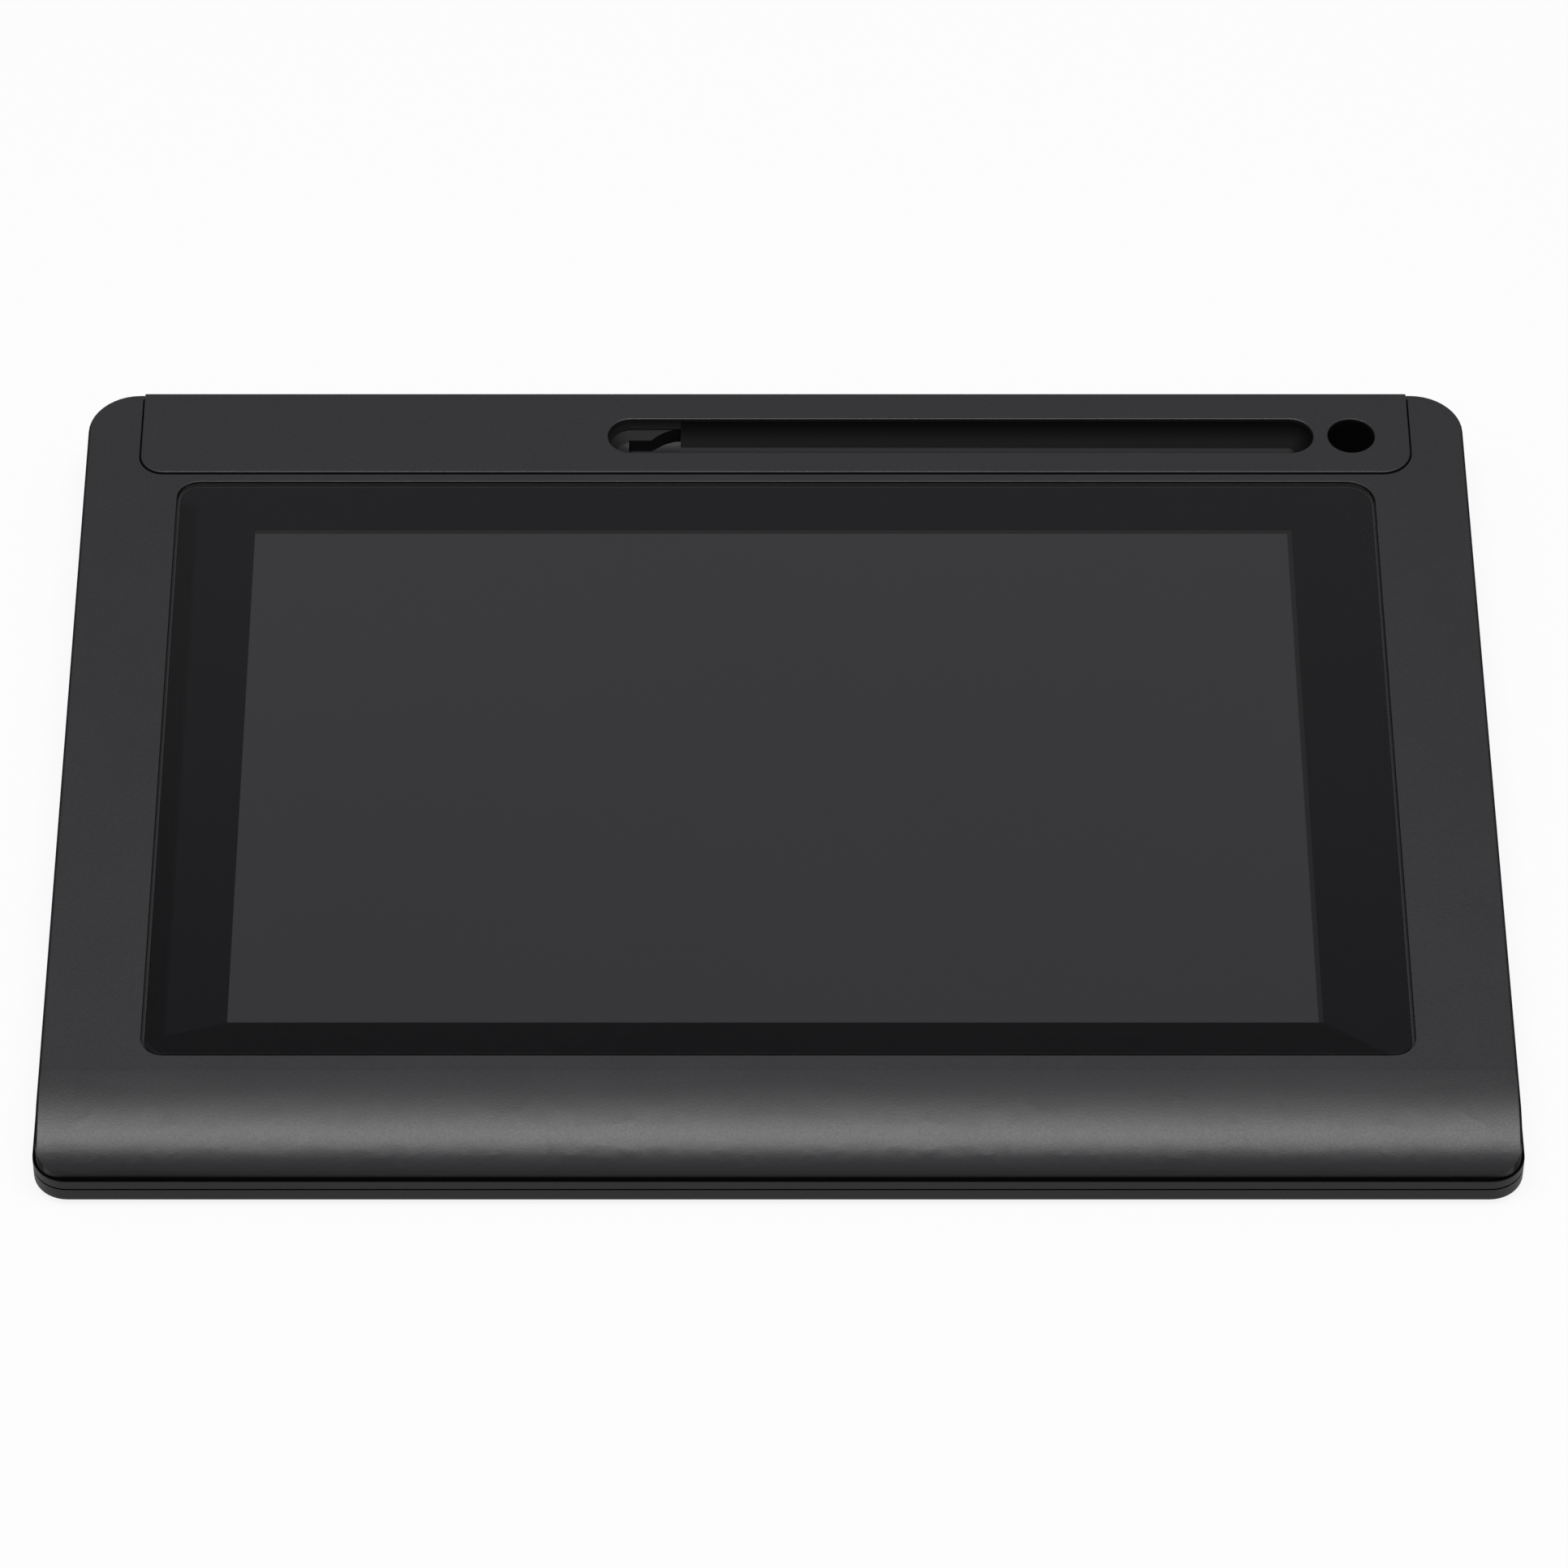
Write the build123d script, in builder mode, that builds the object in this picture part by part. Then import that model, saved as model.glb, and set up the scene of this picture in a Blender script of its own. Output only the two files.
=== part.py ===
from build123d import *
import os

os.makedirs("parts", exist_ok=True)

# LCD signature pad, millimetres.
# Origin at the centre of the footprint, on the desk under the rubber feet.
# X to the right, Y from the user's edge towards the pen tray, Z up.

# Display: active area of the panel and the glass border around it
active_width = 216.96
active_depth = 135.6
border_left = 16.47
border_right = 18.57
border_front = 9.1
border_rear = 13.7
window_margin_right = 0.95
window_margin_rear = 0.95

# Cover glass and what lies behind it, from the top down
glass_thickness = 1.1
glass_gap = 0.35
glass_corner_radius = 4.3
glass_edge_chamfer = 0.15
glass_rear_right_radius = 5.6
print_thickness = 0.1
print_inset = 0.3
tape_thickness = 0.4
tape_inset = 0.6
tape_width = 2.2
module_gap = 0.85
module_side = 6.27
module_front = 3.6
module_rear = 9.8
module_wall = 1.2
bezel_thickness = 0.1
cell_thickness = 0.9
guide_thickness = 1.6
tray_floor = 0.4
led_bar_width = 2.0
stack_gap = 0.2
sensor_side = 6.0
sensor_front = 5.6
sensor_rear_gap = 0.3
sensor_tab = 6.0
sensor_thickness = 1.0
shield_thickness = 0.3

# Top cover
side_margin = 19.75
front_margin = 3.93
bridge_width = 2.1
roll_length = 20.93
roll_skim = 0.02
cover_drop = 7.9
cover_inset = 0.85
cover_front_radius = 4.9
cover_wall = 2.0
cover_edge_radius = 0.7
cover_inner_radius = 0.3
roof_gap = 0.3
opening_edge_radius = 0.15
ledge_thickness = 1.2
ledge_skirt = 1.5
bay_wall = 1.6
bay_stop = 1.5
bay_stop_gap = 0.1

# Seams and bands of the lower case, from the desk up
foot_proud = 1.0
lower_band = 3.25
seam_height = 0.35
mid_band = 2.15
band_edge_radius = 0.15
seam_depth = 1.0
gasket_recess = 0.1
case_rear_radius = 11.5
case_front_radius = 7.0
case_wall = 2.0
case_floor = 1.6
case_edge_radius = 0.6

# Middle frame
ring_width = 3.2
deck_thickness = 1.5
rib_width = 1.2
rib_pitch = 28.0
rib_count = 5
rib_end_margin = 4.0
deck_clearance = 1.0
bay_ledge = 3.5

# Pen tray
tray_depth = 23.9
tray_side_margin = 11.55
tray_gap = 0.35
tray_proud = 0.27
tray_rise = 0.4
tray_plate = 2.0
tray_skirt = 1.6
tray_left_radius = 5.0
tray_right_radius = 6.2
tray_edge_radius = 0.25
tray_rear_edge_radius = 0.9
groove_radius = 5.0
groove_length = 149.8
groove_wall = 1.2
groove_rim = 0.25
groove_right_margin = 20.35
tray_line = 10.85
recess_length = 15.4
recess_rim = 0.4
recess_depth = 2.4
recess_step = 0.3
funnel_depth = 4.4
funnel_angle = 45.0
well_start = 4.4
well_length = 4.7
well_half_width = 2.9
flare_half_width = 2.5
well_depth = 7.6
recess_wall = 1.2
pen_well_radius = 5.0
pen_well_offset = 8.05
pen_well_rim = 0.2
pen_well_wall = 1.3
pen_well_floor = 1.0
pen_well_clearance = 0.5
peg_radius = 1.3
peg_inset_outer = 30.55
peg_inset_inner = 74.55
peg_line = 5.9
peg_engagement = 4.4
peg_clearance = 0.05
peg_bottom_gap = 0.3
socket_radius = 2.5
socket_height = 6.2

# Power button in the right-hand wall
button_y = 40.0
button_rise = 3.4
button_length = 12.0
button_width = 3.2
button_gap = 0.15
button_proud = 0.2
button_travel = 0.5
button_flange = 1.0
button_flange_margin = 0.7
flange_gap = 0.2
plunger_length = 1.0
plunger_radius = 1.2
plunger_sunk = 0.9
plunger_fit = 0.05
button_edge_radius = 0.15
switch_depth = 2.6
switch_length = 6.0
switch_height = 3.6
button_board_thickness = 0.8
button_board_length = 20.0
post_width = 2.4
post_wall = 1.2
post_height = 4.0
post_gap = 0.05

# Security slot in the left-hand wall
lock_y = 55.0
lock_rise = 3.4
lock_length = 7.0
lock_width = 3.0
lock_wall_clearance = 0.2
lock_plate_thickness = 1.2
lock_plate_margin = 4.0
lock_corner_radius = 0.3

# Main board and its parts
board_left = -20.0
board_right = 50.0
board_front_y = 34.0
board_rear_margin = 4.0
board_standoff = 0.6
board_thickness = 1.0
board_port_gap = 0.1
chip_count = 3
chip_height = 1.0
chip_size = 9.0
chip_pitch = 13.0
chip_inset_x = 8.0
chip_inset_y = 11.0
can_width = 26.0
can_depth = 20.0
can_height = 1.2
can_wall = 0.2
can_corner_radius = 1.0
can_inset_x = 21.0
can_inset_y = 26.0
flex_connector_height = 0.9
flex_connector_depth = 3.4
flex_connector_margin = 2.0
flex_tab = 1.5
flex_drop = 1.5
flex_thickness = 0.2
flex_bend = 0.4
lcd_flex_width = 20.0
lcd_flex_x = 36.0
sensor_flex_width = 14.0
sensor_flex_x = 6.0
button_flex_width = 5.0
button_flex_offset = 5.0
button_flex_rise = 2.5
button_connector_inset = 3.0
driver_board_depth = 4.6
driver_board_thickness = 1.0
driver_board_length = 190.0

# Receptacles in the rear edge
port_width = 8.94
port_height = 3.26
port_length = 7.3
port_wall = 0.3
port_gap = 0.22
port_recess = 0.7
port_centre_height = 4.6
signal_port_x = 8.0
power_port_x = 34.0
tongue_width = 6.7
tongue_height = 0.7
tongue_recess = 1.2
port_base = 1.2

# Tilt legs under the rear
leg_inset_x = 56.95
leg_width = 50.0
leg_length = 24.0
leg_thickness = 3.0
leg_sink = 0.2
leg_gap = 0.4
leg_pivot_inset = 29.0
leg_pin_radius = 0.8
leg_pin_fit = 0.05
leg_pin_overhang = 2.5
leg_roof_gap = 0.3
leg_box_wall = 1.0
leg_pad_depth = 2.5
leg_pad_round = 0.6
leg_hollow_count = 6
leg_hollow_width = 6.0
leg_hollow_depth = 1.4
grip_count = 3
grip_pitch = 1.6
grip_length = 18.0
grip_width = 0.7
grip_depth = 0.4
leg_side_wall = 3.0
finger_notch_height = 2.2
finger_notch_width = 16.0
finger_notch_depth = 6.0

# Feet and plate under the case
foot_length = 24.0
foot_width = 8.0
foot_recess = 0.6
foot_gap = 0.15
foot_edge_radius = 0.4
foot_inset_x = 28.0
foot_inset_front = 17.0
foot_inset_rear = 12.0
plate_length = 60.0
plate_width = 26.0
plate_thickness = 0.3
plate_y = -30.0
plate_corner_radius = 1.5
plate_gap = 0.2

# Screws
case_screw_radius = 1.1
case_screw_head_radius = 2.2
case_screw_head_height = 1.4
case_screw_head_sink = 0.2
case_post_radius = 3.4
head_clearance = 0.2
deck_hole_clearance = 0.3
case_screw_length = 8.5
case_screw_inset = 9.4
case_screw_front_offset = 1.6
case_screw_rear_y = 62.0
case_screw_middle_x = 50.0
frame_screw_inset = 12.2
frame_screw_front_y = -55.0
frame_screw_rear_y = 15.0
frame_screw_length = 4.6
frame_screw_head_height = 0.9
boss_radius = 3.0
boss_depth = 6.0
screw_clearance = 0.05
board_screw_radius = 0.9
board_screw_head_radius = 1.7
board_screw_head_height = 0.8
board_screw_inset = 3.5
board_screw_bite = 1.0
board_screw_end_gap = 0.1
cross_width = 0.5
cross_share = 1.2
cross_depth = 0.5
board_post_radius = 2.4

# Slack for telling edges and corners apart, and how far a cutting form runs past a face
selector_slack = 0.01
cut_overrun = 1.0

# Heights above the desk
z_case = foot_proud
z_floor = z_case + case_floor
z_split = z_case + lower_band
z_band_low = z_split + seam_height
z_band_high = z_band_low + mid_band
z_cover = z_band_high + seam_height
z_top = z_cover + cover_drop
z_tray = z_top + tray_rise
z_plate_under = z_top - cover_wall
z_glass = z_top - glass_thickness
z_print = z_glass - print_thickness
z_ledge = z_print - tape_thickness
z_bezel = z_print - bezel_thickness
z_cell = z_bezel - cell_thickness
z_guide = z_cell - guide_thickness
z_module = z_guide - tray_floor
z_sensor = z_module - sensor_thickness
z_shield = z_sensor - shield_thickness
z_deck = z_cover
z_deck_under = z_deck - deck_thickness
z_board = z_floor + board_standoff
z_board_top = z_board + board_thickness
z_port = port_centre_height
z_screw_seat = z_case + case_screw_head_sink + case_screw_head_height

# Plan positions, from the user's edge to the rear edge
glass_width = active_width + border_left + border_right
glass_depth = active_depth + border_front + border_rear
window_width = glass_width + 2 * glass_gap
window_depth = glass_depth + 2 * glass_gap
cover_width = window_width + 2 * side_margin
cover_depth = roll_length + front_margin + window_depth + bridge_width + tray_gap + tray_depth - tray_proud
case_width = cover_width + 2 * cover_inset
case_depth = cover_depth + 2 * cover_inset
cover_front = -cover_depth / 2
roll_start = cover_front + roll_length
window_front = roll_start + front_margin
glass_front = window_front + glass_gap
glass_rear = glass_front + glass_depth
window_rear = glass_rear + glass_gap
bay_front = window_rear + bridge_width
tray_front = bay_front + tray_gap
tray_rear = tray_front + tray_depth
cover_rear = cover_front + cover_depth
case_front = -case_depth / 2
case_rear = case_depth / 2
glass_left = -glass_width / 2
glass_right = glass_width / 2
active_left = glass_left + border_left
active_right = glass_right - border_right
active_front = glass_front + border_front
active_rear = glass_rear - border_rear
module_left = active_left - module_side
module_right = active_right + module_side
module_near = active_front - module_front
module_far = active_rear + module_rear
tray_half = cover_width / 2 - tray_side_margin
bay_half = tray_half + tray_gap
groove_y = tray_front + tray_line
groove_right = tray_half - groove_right_margin
groove_left = groove_right - groove_length
recess_right = groove_left + recess_length
pen_well_x = groove_right + pen_well_offset
peg_y = groove_y + peg_line
peg_places = [
    (peg_inset_outer - tray_half, peg_y),
    (peg_inset_inner - tray_half, peg_y),
    (tray_half - peg_inset_inner, peg_y),
    (tray_half - peg_inset_outer, peg_y),
]
socket_top = z_floor + socket_height
z_peg = socket_top - peg_engagement
board_rear = case_rear - board_rear_margin
button_z = z_cover + button_rise
lock_z = z_cover + lock_rise
leg_centre_x = case_width / 2 - leg_inset_x
leg_axis_y = case_rear - leg_pivot_inset
leg_axis_z = z_case + leg_sink + leg_thickness / 2
leg_tip_y = leg_axis_y - leg_length
pin_bore_radius = leg_pin_radius + leg_pin_fit
pin_reach = leg_width / 2 + leg_gap + leg_pin_overhang
cover_side = cover_width / 2
flange_x = cover_side - cover_wall - flange_gap - button_flange
switch_x = flange_x - plunger_length - switch_depth
board_x = switch_x - button_board_thickness
foot_x = case_width / 2 - foot_inset_x
foot_places = {
    "foot_front_left": (-foot_x, case_front + foot_inset_front),
    "foot_front_right": (foot_x, case_front + foot_inset_front),
    "foot_rear_left": (-foot_x, case_rear - foot_inset_rear),
    "foot_rear_right": (foot_x, case_rear - foot_inset_rear),
}
leg_roof = z_case + leg_sink + leg_thickness + leg_roof_gap
case_screw_x = case_width / 2 - case_screw_inset
case_screw_front_y = roll_start - case_screw_front_offset
frame_screw_x = case_width / 2 - frame_screw_inset
case_screw_places = [
    (-case_screw_x, case_screw_front_y),
    (-case_screw_middle_x, case_screw_front_y),
    (case_screw_middle_x, case_screw_front_y),
    (case_screw_x, case_screw_front_y),
    (-case_screw_x, case_screw_rear_y),
    (case_screw_x, case_screw_rear_y),
]
frame_screw_places = [
    (-frame_screw_x, frame_screw_front_y),
    (frame_screw_x, frame_screw_front_y),
    (-frame_screw_x, frame_screw_rear_y),
    (frame_screw_x, frame_screw_rear_y),
]
board_screw_places = [
    (board_left + board_screw_inset, board_front_y + board_screw_inset),
    (board_right - board_screw_inset, board_front_y + board_screw_inset),
    (board_left + board_screw_inset, board_rear - board_screw_inset),
    (board_right - board_screw_inset, board_rear - board_screw_inset),
]


def block(x0, x1, y0, y1, z0, z1, mode=Mode.ADD):
    """Add a block between two corners to the part that is open."""
    with Locations(((x0 + x1) / 2, (y0 + y1) / 2, (z0 + z1) / 2)):
        Box(x1 - x0, y1 - y0, z1 - z0, mode=mode)


def rod(places, radius, z0, z1, mode=Mode.ADD):
    """Add upright rods at the given places to the part that is open."""
    with Locations(*[(x, y, (z0 + z1) / 2) for x, y in places]):
        Cylinder(radius, z1 - z0, mode=mode)


def case_outline(inset, front_radius=case_front_radius):
    """Outline of the case from above, drawn in by inset all round."""
    with BuildSketch(mode=Mode.PRIVATE) as outline:
        Rectangle(case_width - 2 * inset, case_depth - 2 * inset)
        fillet(outline.vertices().group_by(Axis.Y)[-1], case_rear_radius - inset)
        fillet(outline.vertices().group_by(Axis.Y)[0], front_radius - inset)
    return outline.sketch


def rounded_rectangle(x0, x1, y0, y1, radius, rear_right_radius):
    """Rectangle with one radius on three corners and its own on the rear right corner."""
    with BuildSketch(mode=Mode.PRIVATE) as outline:
        with Locations(((x0 + x1) / 2, (y0 + y1) / 2)):
            Rectangle(x1 - x0, y1 - y0)
        corners = outline.vertices().sort_by(lambda corner: corner.X + corner.Y)
        fillet(corners[:-1], radius)
        fillet(outline.vertices().sort_by(lambda corner: corner.X + corner.Y)[-1], rear_right_radius)
    return outline.sketch


def glass_outline(margin):
    """Outline of the cover glass, let out by margin all round."""
    return rounded_rectangle(
        glass_left - margin,
        glass_right + margin,
        glass_front - margin,
        glass_rear + margin,
        glass_corner_radius + margin,
        glass_rear_right_radius + margin,
    )


def tray_outline(margin, rear_y):
    """Outline of the pen tray from above: rounded front corners, square rear corners."""
    with BuildSketch(mode=Mode.PRIVATE) as outline:
        front_y = tray_front - margin
        half = tray_half + margin
        with Locations((0, (front_y + rear_y) / 2)):
            Rectangle(2 * half, rear_y - front_y)
        fillet(outline.vertices().group_by(Axis.Y)[0].sort_by(Axis.X)[0], tray_left_radius + margin)
        fillet(outline.vertices().sort_by(lambda v: v.X - v.Y)[-1], tray_right_radius + margin)
    return outline.sketch


def cover_form(inset, edge_radius):
    """Closed form of the top cover, drawn in by inset on its top, sides, rear and front roll."""
    roll_end = roll_start - roll_length + roll_skim + inset
    rear = cover_rear + cut_overrun
    with BuildPart(mode=Mode.PRIVATE) as form:
        with BuildSketch(Plane.XY.offset(z_cover)):
            add(case_outline(cover_inset + inset, cover_front_radius + cover_inset))
        extrude(amount=cover_drop - inset)
        fillet(form.edges().group_by(Axis.Z)[-1], edge_radius)
        with BuildSketch(Plane.YZ):
            with BuildLine():
                EllipticalCenterArc(
                    (roll_start, z_cover),
                    roll_start - roll_end,
                    cover_drop - inset,
                    start_angle=90,
                    arc_size=90,
                )
                Polyline(
                    (roll_end, z_cover),
                    (rear, z_cover),
                    (rear, z_top - inset),
                    (roll_start, z_top - inset),
                )
            make_face()
        extrude(amount=case_width / 2, both=True, mode=Mode.INTERSECT)
    return form.part


def edges_between(part, x0, x1, y0, y1):
    """Topmost edges of a part whose middles lie in a rectangle seen from above."""
    topmost = part.edges().group_by(Axis.Z)[-1]
    across = topmost.filter_by_position(Axis.X, x0 - selector_slack, x1 + selector_slack)
    return across.filter_by_position(Axis.Y, y0 - selector_slack, y1 + selector_slack)


def x_rod(x0, x1, y, z, radius, mode=Mode.ADD):
    """Add a rod that lies along X to the part that is open."""
    with Locations(Location(((x0 + x1) / 2, y, z), (0, 90, 0))):
        Cylinder(radius, x1 - x0, mode=mode)


def port_openings(depth):
    """Cut both receptacle openings through the rear edge of the part that is open."""
    with BuildSketch(Plane.XZ.offset(-case_rear - cut_overrun)) as openings:
        with Locations((signal_port_x, z_port), (power_port_x, z_port)):
            SlotOverall(port_width + 2 * port_gap, port_height + 2 * port_gap)
    extrude(openings.sketch, amount=depth + cut_overrun, mode=Mode.SUBTRACT)


def half_capsule(radius):
    """Lower half of the pen groove's form: a lying rod with round ends, cut at the tray's top."""
    with BuildPart(mode=Mode.PRIVATE) as capsule:
        x_rod(groove_left + groove_radius, groove_right - groove_radius, groove_y, z_tray, radius)
        with Locations(
            (groove_left + groove_radius, groove_y, z_tray),
            (groove_right - groove_radius, groove_y, z_tray),
        ):
            Sphere(radius)
        split(bisect_by=Plane.XY.offset(z_tray), keep=Keep.BOTTOM)
    return capsule.part


def flat_cable(plane, points, width):
    """Flat flexible cable of the given width, along a route drawn on a plane."""
    with BuildPart(mode=Mode.PRIVATE) as cable:
        with BuildSketch(plane):
            with BuildLine():
                FilletPolyline(*points, radius=flex_bend)
            trace(line_width=flex_thickness)
        extrude(amount=width / 2, both=True)
    return cable.part


# Top cover: flat shell rolled over at its front, with the glass rebate and the tray bay
with BuildPart() as top_cover:
    add(cover_form(0, cover_edge_radius))
    add(cover_form(cover_wall, cover_inner_radius), mode=Mode.SUBTRACT)
    with BuildSketch(Plane.XY.offset(z_ledge - ledge_thickness)):
        add(glass_outline(glass_gap + ledge_skirt))
    extrude(until=Until.NEXT)
    block(
        -bay_half - bay_wall,
        bay_half + bay_wall,
        bay_front - bay_wall,
        cover_rear - cover_wall / 2,
        z_cover,
        z_top - cover_wall / 2,
    )
    rod(case_screw_places + frame_screw_places, boss_radius, z_cover, z_plate_under + cover_wall / 2)
    with BuildSketch(Plane.XY.offset(z_cover)):
        add(tray_outline(tray_gap, cover_rear - bay_stop))
        add(tray_outline(bay_stop_gap, case_rear))
    extrude(amount=cover_drop + cut_overrun, mode=Mode.SUBTRACT)
    with BuildSketch(Plane.XY.offset(z_ledge)):
        add(glass_outline(glass_gap))
    extrude(amount=z_top - z_ledge + cut_overrun, mode=Mode.SUBTRACT)
    window_edges = edges_between(top_cover, -window_width / 2, window_width / 2, window_front, window_rear)
    fillet(window_edges, opening_edge_radius)
    block(
        module_left - module_gap,
        module_right + module_gap,
        module_near - module_gap,
        module_far + module_gap,
        z_cover,
        z_top,
        mode=Mode.SUBTRACT,
    )
    rod(case_screw_places, case_screw_radius + screw_clearance, z_cover, z_cover + boss_depth, Mode.SUBTRACT)
    rod(frame_screw_places, case_screw_radius + screw_clearance, z_cover, z_cover + boss_depth, Mode.SUBTRACT)
    with BuildSketch(Plane.YZ.offset(cover_side - cover_wall - cut_overrun)):
        with Locations((button_y, button_z)):
            SlotOverall(button_length + 2 * button_gap, button_width + 2 * button_gap)
    extrude(amount=cover_wall + 2 * cut_overrun, mode=Mode.SUBTRACT)
    with BuildSketch(Plane.YZ.offset(-cover_side - cut_overrun)):
        with Locations((lock_y, lock_z)):
            RectangleRounded(
                lock_length + 2 * lock_wall_clearance,
                lock_width + 2 * lock_wall_clearance,
                lock_corner_radius,
            )
    extrude(amount=cover_wall + 2 * cut_overrun, mode=Mode.SUBTRACT)
top_cover.part.label = "top_cover"
export_step(top_cover.part, "parts/top_cover.step")

# Seam gaskets: black rubber rings that fill the two seams of the case
for gasket_name, gasket_z in (("lower_seam_gasket", z_split), ("upper_seam_gasket", z_band_high)):
    with BuildPart() as gasket:
        with BuildSketch(Plane.XY.offset(gasket_z)):
            add(case_outline(gasket_recess))
            add(case_outline(seam_depth), mode=Mode.SUBTRACT)
        extrude(amount=seam_height)
        port_openings(ring_width)
    gasket.part.label = gasket_name
    export_step(gasket.part, f"parts/{gasket_name}.step")

# Middle frame: the visible band, the ring inside it and the ribbed deck that carries the display
sensor_left = active_left - sensor_side
sensor_right = active_right + sensor_side
sensor_near = active_front - sensor_front
driver_near = module_far - driver_board_depth - stack_gap
sensor_far = driver_near - sensor_rear_gap
rib_centre_y = (sensor_near + sensor_far) / 2
leg_box_half = leg_width / 2 + leg_gap + leg_side_wall
leg_box_near = leg_tip_y - leg_gap - leg_box_wall
leg_box_far = leg_axis_y + leg_thickness / 2 + leg_gap + leg_box_wall
with BuildPart() as mid_frame:
    with BuildSketch(Plane.XY.offset(z_band_low)):
        add(case_outline(0))
    extrude(amount=mid_band)
    fillet(mid_frame.edges().filter_by(Plane.XY), band_edge_radius)
    with BuildSketch(Plane.XY.offset(z_split)):
        add(case_outline(seam_depth))
    extrude(amount=z_cover - z_split)
    with BuildSketch(Plane.XY.offset(z_split)):
        add(case_outline(ring_width))
    extrude(amount=z_deck_under - z_split, mode=Mode.SUBTRACT)
    for leg_x in (-leg_centre_x, leg_centre_x):
        block(
            leg_x - leg_box_half - deck_clearance,
            leg_x + leg_box_half + deck_clearance,
            leg_box_near - deck_clearance,
            leg_box_far + deck_clearance,
            z_deck_under,
            z_deck,
            mode=Mode.SUBTRACT,
        )
    block(
        board_left - deck_clearance,
        board_right + deck_clearance,
        board_front_y - deck_clearance,
        tray_front + bay_ledge,
        z_deck_under,
        z_deck,
        mode=Mode.SUBTRACT,
    )
    block(
        -bay_half + bay_ledge,
        bay_half - bay_ledge,
        tray_front + bay_ledge,
        case_rear - ring_width,
        z_deck_under,
        z_deck,
        mode=Mode.SUBTRACT,
    )
    with Locations((0, rib_centre_y, (z_deck + z_shield) / 2)):
        with GridLocations(0, rib_pitch, 1, rib_count):
            Box(sensor_right - sensor_left - 2 * rib_end_margin, rib_width, z_shield - z_deck)
    for post_side in (-1, 1):
        post_y = button_y + post_side * button_board_length / 2
        block(
            board_x - post_wall,
            board_x + button_board_thickness + post_wall,
            post_y - post_width / 2,
            post_y + post_width / 2,
            z_deck,
            z_deck + post_height,
        )
    block(
        board_x - post_gap,
        board_x + button_board_thickness + post_gap,
        button_y - button_board_length / 2 - post_gap,
        button_y + button_board_length / 2 + post_gap,
        z_deck,
        z_top,
        mode=Mode.SUBTRACT,
    )
    rod(case_screw_places, case_screw_radius + deck_hole_clearance, z_deck_under, z_deck, Mode.SUBTRACT)
    rod(frame_screw_places, case_screw_radius + deck_hole_clearance, z_deck_under, z_deck, Mode.SUBTRACT)
    port_openings(ring_width)
mid_frame.part.label = "mid_frame"
export_step(mid_frame.part, "parts/mid_frame.step")

# Bottom cover: floor, outer wall, leg pockets, screw posts, peg sockets and board posts
with BuildPart() as bottom_cover:
    with BuildSketch(Plane.XY.offset(z_case)):
        add(case_outline(0))
    extrude(amount=lower_band)
    fillet(bottom_cover.edges().group_by(Axis.Z)[0], case_edge_radius)
    with BuildSketch(Plane.XY.offset(z_floor)):
        add(case_outline(case_wall))
    extrude(amount=lower_band, mode=Mode.SUBTRACT)
    for leg_x in (-leg_centre_x, leg_centre_x):
        block(
            leg_x - leg_box_half,
            leg_x + leg_box_half,
            leg_box_near,
            leg_box_far,
            z_floor,
            leg_roof + leg_box_wall,
        )
        block(
            leg_x - finger_notch_width / 2 - leg_box_wall,
            leg_x + finger_notch_width / 2 + leg_box_wall,
            leg_box_near - finger_notch_depth,
            leg_box_near,
            z_floor,
            z_case + finger_notch_height + leg_box_wall,
        )
    rod(case_screw_places, case_post_radius, z_case, z_deck_under)
    rod(board_screw_places, board_post_radius, z_floor, z_board)
    rod(peg_places, socket_radius, z_floor, socket_top)
    for leg_x in (-leg_centre_x, leg_centre_x):
        pocket_half = leg_width / 2 + leg_gap
        block(
            leg_x - pocket_half,
            leg_x + pocket_half,
            leg_tip_y - leg_gap,
            leg_box_far - leg_box_wall,
            z_case,
            leg_roof,
            mode=Mode.SUBTRACT,
        )
        block(
            leg_x - finger_notch_width / 2,
            leg_x + finger_notch_width / 2,
            leg_tip_y - leg_gap - finger_notch_depth,
            leg_tip_y,
            z_case,
            z_case + finger_notch_height,
            mode=Mode.SUBTRACT,
        )
        x_rod(leg_x - pin_reach, leg_x + pin_reach, leg_axis_y, leg_axis_z, pin_bore_radius, Mode.SUBTRACT)
    rod(case_screw_places, case_screw_head_radius + head_clearance, z_case, z_screw_seat, Mode.SUBTRACT)
    rod(case_screw_places, case_screw_radius + deck_hole_clearance, z_screw_seat, z_deck_under, Mode.SUBTRACT)
    board_bore_radius = board_screw_radius + screw_clearance
    rod(board_screw_places, board_bore_radius, z_floor - board_screw_bite, z_board, Mode.SUBTRACT)
    rod(peg_places, peg_radius + peg_clearance, z_peg - peg_bottom_gap, socket_top, Mode.SUBTRACT)
    with BuildSketch(Plane.XY.offset(z_case)):
        with Locations(*foot_places.values()):
            SlotOverall(foot_length + 2 * foot_gap, foot_width + 2 * foot_gap)
    extrude(amount=foot_recess, mode=Mode.SUBTRACT)
    with BuildSketch(Plane.XY.offset(z_case)):
        with Locations((0, plate_y)):
            RectangleRounded(
                plate_length + 2 * plate_gap,
                plate_width + 2 * plate_gap,
                plate_corner_radius + plate_gap,
            )
    extrude(amount=plate_thickness, mode=Mode.SUBTRACT)
    port_openings(case_wall)
bottom_cover.part.label = "bottom_cover"
export_step(bottom_cover.part, "parts/bottom_cover.step")

# Cover glass: one pane, flush with the top cover, with its upper edge eased
with BuildPart() as cover_glass:
    with BuildSketch(Plane.XY.offset(z_glass)):
        add(glass_outline(0))
    extrude(amount=glass_thickness)
    chamfer(cover_glass.edges().group_by(Axis.Z)[-1], glass_edge_chamfer)
cover_glass.part.label = "cover_glass"
export_step(cover_glass.part, "parts/cover_glass.step")

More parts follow.
